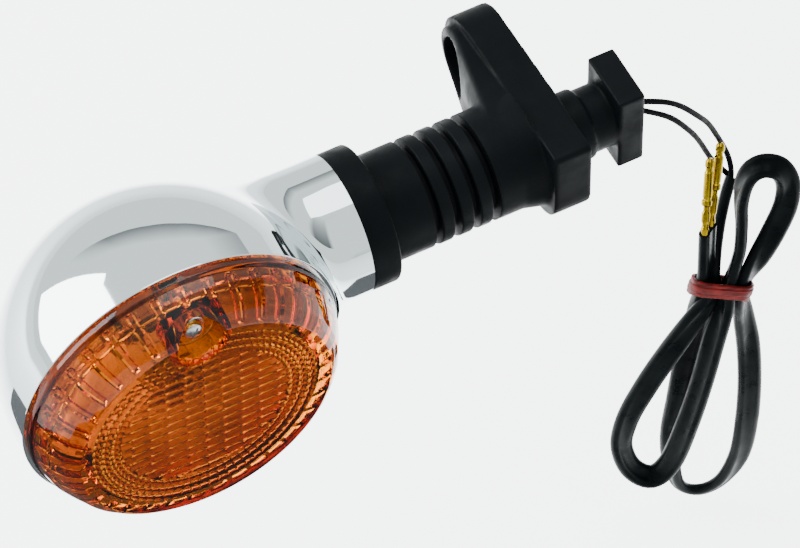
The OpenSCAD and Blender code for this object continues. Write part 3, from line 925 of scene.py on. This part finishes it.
def make_shell():
    """Outer skin of the housing: one grid whose rows swing from the lens rim to the neck's end."""
    rows, cols = ((132, 192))
    pivot = Vector((neck_end_x, rim_y, 0))
    far = neck_end_x - lamp_x
    verts = []
    for i in range(rows + 1):
        t = i / rows
        swing = math.radians(90) * t
        spine = far + (neck_depth - far) * blended(t * 1.15)
        radial = Vector((-math.cos(swing), math.sin(swing), 0))
        origin = pivot + spine * radial
        for k in range(cols):
            turn = TURN * k / cols
            direction = radial * math.cos(turn) + Vector((0, 0, 1)) * math.sin(turn)
            verts.append(origin + reach(origin, direction) * direction)
    mesh = bpy.data.meshes.new("housing_skin")
    mesh.from_pydata([tuple(v) for v in verts], [], grid_faces(rows + 1, cols))
    mesh.shade_smooth()
    mesh.normals_split_custom_set_from_vertices([tuple(outward(v)) for v in verts])
    return new_object("housing_skin", mesh)


def make_housing_inside():
    """Rolled rim, inner wall, reflector ledge and the post that takes the lens screw."""
    inner = bowl_r - shell_t
    rim = rounded([(bowl_r, 0.02 * MM), (bowl_r - 0.05 * MM, -0.25 * MM), (inner, -0.25 * MM),
                   (inner, 9 * MM)], 0.5 * MM)
    profile = [(bowl_r, 0.02 * MM)] + rim + [(40 * MM, 9 * MM)]
    for k in range(25):
        angle = math.radians(88 * k / 24)
        depth = bowl_skirt + 2.2 * MM + (inner - 2.4 * MM) * math.sin(angle)
        profile.append((inner * math.cos(angle) * 0.985, depth))
    wall = lathe("housing_wall", profile, in_lamp, 160)
    post_top = pocket_floor + 2 * MM
    post_profile = rounded([(thread_r, post_top + 12 * MM), (thread_r, post_top),
                            (post_r, post_top), (post_r, 28 * MM)], 0.3 * MM)
    post = lathe("housing_post", post_profile, screw_place, 48)
    end = lathe("neck_lip", rounded([(neck_r, neck_end_x), (neck_r - 2 * MM, neck_end_x),
                                     (neck_r - 2 * MM, neck_end_x - 8 * MM)], 0.3 * MM),
                lambda r, turn, x: on_stem(x, r, turn), 128)
    return join("housing_inside", [wall, post, end])


finish_piece(make_shell(), chrome, "head", "chrome", "housing")
finish_piece(make_housing_inside(), chrome, "head", "chrome")

# ---------------------------------------------------------------- reflector


def make_reflector():
    """Silvered dish with a rolled edge, notched for the screw post."""
    dish, hole = 36 * MM, 9.2 * MM
    ring, ring_depth = 13.5 * MM, 24.7 * MM
    drop = (ring_depth - seat) / (dish ** 2 - ring ** 2)
    front = [(r, seat + drop * (dish ** 2 - r ** 2))
             for r in [dish - (dish - ring) * k / 28 for k in range(29)]]
    back = [(r, d + 1.0 * MM) for r, d in reversed(front)]
    profile = rounded([(41.5 * MM, seat + 1 * MM), (41.5 * MM, seat)], 0.2 * MM) + front
    profile += [(hole, ring_depth), (hole, ring_depth + 1 * MM)] + back
    obj = lathe("reflector_dish", profile, in_lamp, 160, closed=True)
    return boolean(obj, plug_solid("notch", post_r + 0.4 * MM, 0, 30 * MM), "DIFFERENCE")


finish_piece(make_reflector(), silver, "head", "reflector_silver", "reflector")

# ---------------------------------------------------------------- rubber stem

edge_r = 0.7 * MM


def stem_lathe(name, profile):
    """Turns a profile of (x, radius) about the stem's axis."""
    return lathe(name, [(r, x) for x, r in profile], lambda r, turn, x: on_stem(x, r, turn), 144,
                 sharp_angle=50)


def make_stem_head():
    """Collar against the chrome neck and the plain tube behind it."""
    start, collar_end, end = neck_end_x, neck_end_x + 8 * MM, bellows_lo.x
    profile = rounded([(start, neck_r - 3 * MM), (start, collar_r), (collar_end, collar_r),
                       (collar_end, tube_r), (end, tube_r)], edge_r)
    profile += [(end, tube_r), (end + 0.01 * MM, groove_r)]
    return stem_lathe("rubber_collar", profile)


def bellows_outline(start, end):
    """Ribs and grooves between two places on the stem, as (x, radius)."""
    corners = []
    for i in range(4):
        groove = bellows_lo.x + i * rib_pitch
        corners += [(groove, tube_r), (groove + 0.15 * MM, groove_r),
                    (groove + groove_w - 0.15 * MM, groove_r), (groove + groove_w, tube_r)]
    before, after = (bellows_lo.x - 1 * MM, tube_r), (bellows_hi.x + 1 * MM, tube_r)
    line = rounded([before] + corners + [after], 0.5 * MM)
    dense = []
    for (x0, r0), (x1, r1) in zip(line, line[1:]):
        count = max(1, round(abs(x1 - x0) / (0.6 * MM)))
        dense += [(x0 + (x1 - x0) * k / count, r0 + (r1 - r0) * k / count) for k in range(count)]
    return [(x, r) for x, r in dense if start - 1e-7 <= x <= end + 1e-7]


def make_bellows():
    """The bellows in two pieces that meet in a groove, both left without a body."""
    middle = bellows_lo.x + rib_pitch + groove_w / 2
    start, end = bellows_lo.x, bellows_hi.x
    near = stem_lathe("bellows_lamp_side",
                      [(start, groove_r)] + bellows_outline(start, middle) + [(middle, groove_r)])
    far = stem_lathe("bellows_plug_side",
                     [(middle, groove_r)] + bellows_outline(middle, end) + [(end, tube_r)])
    for obj in (near, far):
        finish_piece(obj, rubber, None, "stem_rubber", "stem_bellows")
    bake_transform(near)
    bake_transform(far)


def make_stem_mount():
    """Moulded end of the stem, its edges softened as on a moulding."""
    work = bmesh.new()
    for node in ("stem_mount", "stem_plug"):
        work.from_mesh(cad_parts[node].data)
    bmesh.ops.remove_doubles(work, verts=work.verts, dist=1e-6)
    mesh = bpy.data.meshes.new("rubber_mount")
    work.to_mesh(mesh)
    work.free()
    obj = new_object("rubber_mount", mesh)
    remesh = obj.modifiers.new("remesh", "REMESH")
    remesh.mode = "VOXEL"
    remesh.voxel_size = 0.42 * MM
    soften = obj.modifiers.new("soften", "SMOOTH")
    soften.factor = 0.5
    soften.iterations = 9
    obj = evaluated(obj, "rubber_mount")
    obj.data.shade_smooth()
    return obj


finish_piece(make_stem_head(), rubber, "head", "stem_rubber", "stem_head")
make_bellows()
finish_piece(make_stem_mount(), rubber, "mount", "stem_rubber", "stem_mount", "stem_plug")

# ---------------------------------------------------------------- pieces kept from the frame

KEPT = {
    "lens_gasket": foam, "bulb_glass": clear, "bulb_cap": cap_brass, "bulb_pins": contact_brass,
    "bulb_contact": solder, "bulb_insulator": black_glass, "bulb_filament": tungsten,
    "filament_posts": tungsten, "glass_bead": clear, "socket_shell": socket_steel,
    "socket_rivets": socket_steel, "socket_insulator": phenolic, "contact_plunger": contact_brass,
    "contact_spring": steel, "hot_tag": contact_brass, "ground_tag": socket_steel,
    "wires_head": insulation, "wires_bellows": insulation, "wires_mount": insulation,
    "stem_stud": steel, "neck_washer": steel, "stem_nut": steel,
}
for kept_node, kept_material in KEPT.items():
    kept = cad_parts[kept_node]
    kept.data.materials.clear()
    kept.data.materials.append(kept_material)

# ---------------------------------------------------------------- floor and light


def make_floor():
    """Wide pale floor below the hanging hank, with a painted glow of light that is brightest behind
    the lamp in the camera's view.
    """
    half = 6.0
    glow_peak, plain = 4.2, 0.4
    glow_peak_to, glow_fade_from = 0.18, 0.42
    verts = [(x, y, floor_z) for x in (-half, half) for y in (-half, half)]
    floor = piece("floor", verts, [(0, 1, 3, 2)])
    s = Shader("floor", (0.92, 0.93, 0.94), Specular_IOR_Level=0.2)
    s.roughness(s.noise(3, detail=4), 0.6, 0.8)
    s.bump(s.noise(200), 0.02, 0.0002)
    # The floor's emission is a painted pool of light, strongest behind the lamp and fading
    # outwards.
    s.principled.inputs["Emission Color"].default_value = (*pale, 1)
    near = s.node("ShaderNodeVectorMath", operation="DISTANCE")
    s.link(s.place, near.inputs[0])
    near.inputs[1].default_value = (*behind_lamp, floor_z)
    glow = s.spread(near.outputs["Value"], glow_peak, plain, glow_peak_to, glow_fade_from)
    s.link(glow, s.principled.inputs["Emission Strength"])
    floor.data.materials.append(s.material)
    return floor


def card(name, corners, color):
    """Matt card that the chrome and the lens mirror."""
    obj = piece(name, corners, [(0, 1, 2, 3)])
    s = Shader(name, color, Roughness=0.9, Specular_IOR_Level=0.05)
    obj.data.materials.append(s.material)
    return obj


def soft_strip(name, path, rise, darkness, distance=1.4):
    """Pale strip round the lamp, dark along its lower edge and fading upwards and at its ends.

    path holds compass angles from the front and angles above the lamp, in degrees.
    """
    verts = []
    for azimuth, height in path:
        turn = math.radians(azimuth)
        out = Vector((math.sin(turn), -math.cos(turn), 0))
        for edge in (0, 1):
            up = Vector((0, 0, math.tan(math.radians(height + rise * edge))))
            verts.append(middle + (out + up) * distance)
    count = len(path)
    mesh = bpy.data.meshes.new(name)
    mesh.from_pydata([tuple(v) for v in verts], [],
                     [(2 * i, 2 * i + 2, 2 * i + 3, 2 * i + 1) for i in range(count - 1)])
    layer = mesh.uv_layers.new(name="strip")
    for loop, corner in zip(layer.data, mesh.loops):
        loop.uv = (corner.vertex_index // 2 / (count - 1), corner.vertex_index % 2)
    s = Shader(name, (0, 0, 0), Roughness=1.0, Specular_IOR_Level=0.0)
    split = s.node("ShaderNodeSeparateXYZ")
    s.link(s.node("ShaderNodeUVMap", uv_map="strip").outputs["UV"], split.inputs["Vector"])
    fade = s.spread(split.outputs["Y"], darkness, 0, 0, 1)
    for start, end in ((0, 0.2), (1, 0.8)):
        product = s.node("ShaderNodeMath", operation="MULTIPLY")
        s.link(fade, product.inputs[0])
        s.link(s.spread(split.outputs["X"], 0, 1, start, end), product.inputs[1])
        fade = product.outputs[0]
    s.link(s.spread(fade, brightness, 0, 0, 1), s.principled.inputs["Emission Strength"])
    s.principled.inputs["Emission Color"].default_value = (*pale, 1)
    mesh.materials.append(s.material)
    return new_object(name, mesh)


def area_light(name, place, target, size, power):
    """Rectangular soft light that faces the target."""
    data = bpy.data.lights.new(name, "AREA")
    data.shape = "RECTANGLE"
    data.size, data.size_y = size
    data.energy = power
    light = bpy.data.objects.new(name, data)
    light.location = place
    light.rotation_euler = (Vector(target) - Vector(place)).to_track_quat("-Z", "Y").to_euler()
    bpy.context.scene.collection.objects.link(light)
    return light


def make_world():
    """Even pale light from all round."""
    world = bpy.data.worlds.new("studio")
    world.use_nodes = True
    background = world.node_tree.nodes["Background"]
    background.inputs["Color"].default_value = (*pale, 1)
    background.inputs["Strength"].default_value = brightness
    bpy.context.scene.world = world


pale = (0.93, 0.97, 0.98)
brightness = 1.2
floor_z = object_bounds()[0][2] - 4 * MM
middle = Vector((lamp_x / 2, stem_y, 0))
# Where the camera's line of sight meets the floor, and level directions ahead and to its right.
behind_lamp = (0.012, 0.084)
view_ahead, view_right = Vector((0.447, 0.894, 0)), Vector((0.894, -0.447, 0))
shade_level = Vector((0, 0, floor_z + 1 * MM))
cards = [
    card("shade_card", [shade_level + view_ahead * ahead + view_right * right for ahead, right in (
        (-0.95, -0.45), (-0.95, 0.14), (-0.03, 0.14), (-0.03, -0.45),
    )], (0.09, 0.09, 0.095)),
    soft_strip("left_flag", [(-110, 22), (-80, 22), (-50, 22), (-20, 22), (5, 22)], 46, 0.85, 1.2),
    soft_strip("right_flag", [(38, 22), (55, 22), (75, 22), (95, 22)], 46, 0.85, 1.2),
    soft_strip("front_strip", [(5, -1), (10, -3), (15, -1)], 7, 0.9),
    soft_strip("back_strip", [(205, 16), (192, 23), (180, 28), (165, 31), (150, 30), (136, 25),
                              (124, 17), (114, 10)], 15, 0.8),
]
lights = [
    area_light("key", (-1.1, 0.75, 0.65), middle, (0.9, 1.2), 26),
    area_light("top", (0.3, 0.2, 1.9), middle, (1.2, 1.2), 12),
]
for flag in cards:
    flag.visible_camera = False
    flag.visible_shadow = False
    flag.visible_diffuse = False
make_world()
make_floor()
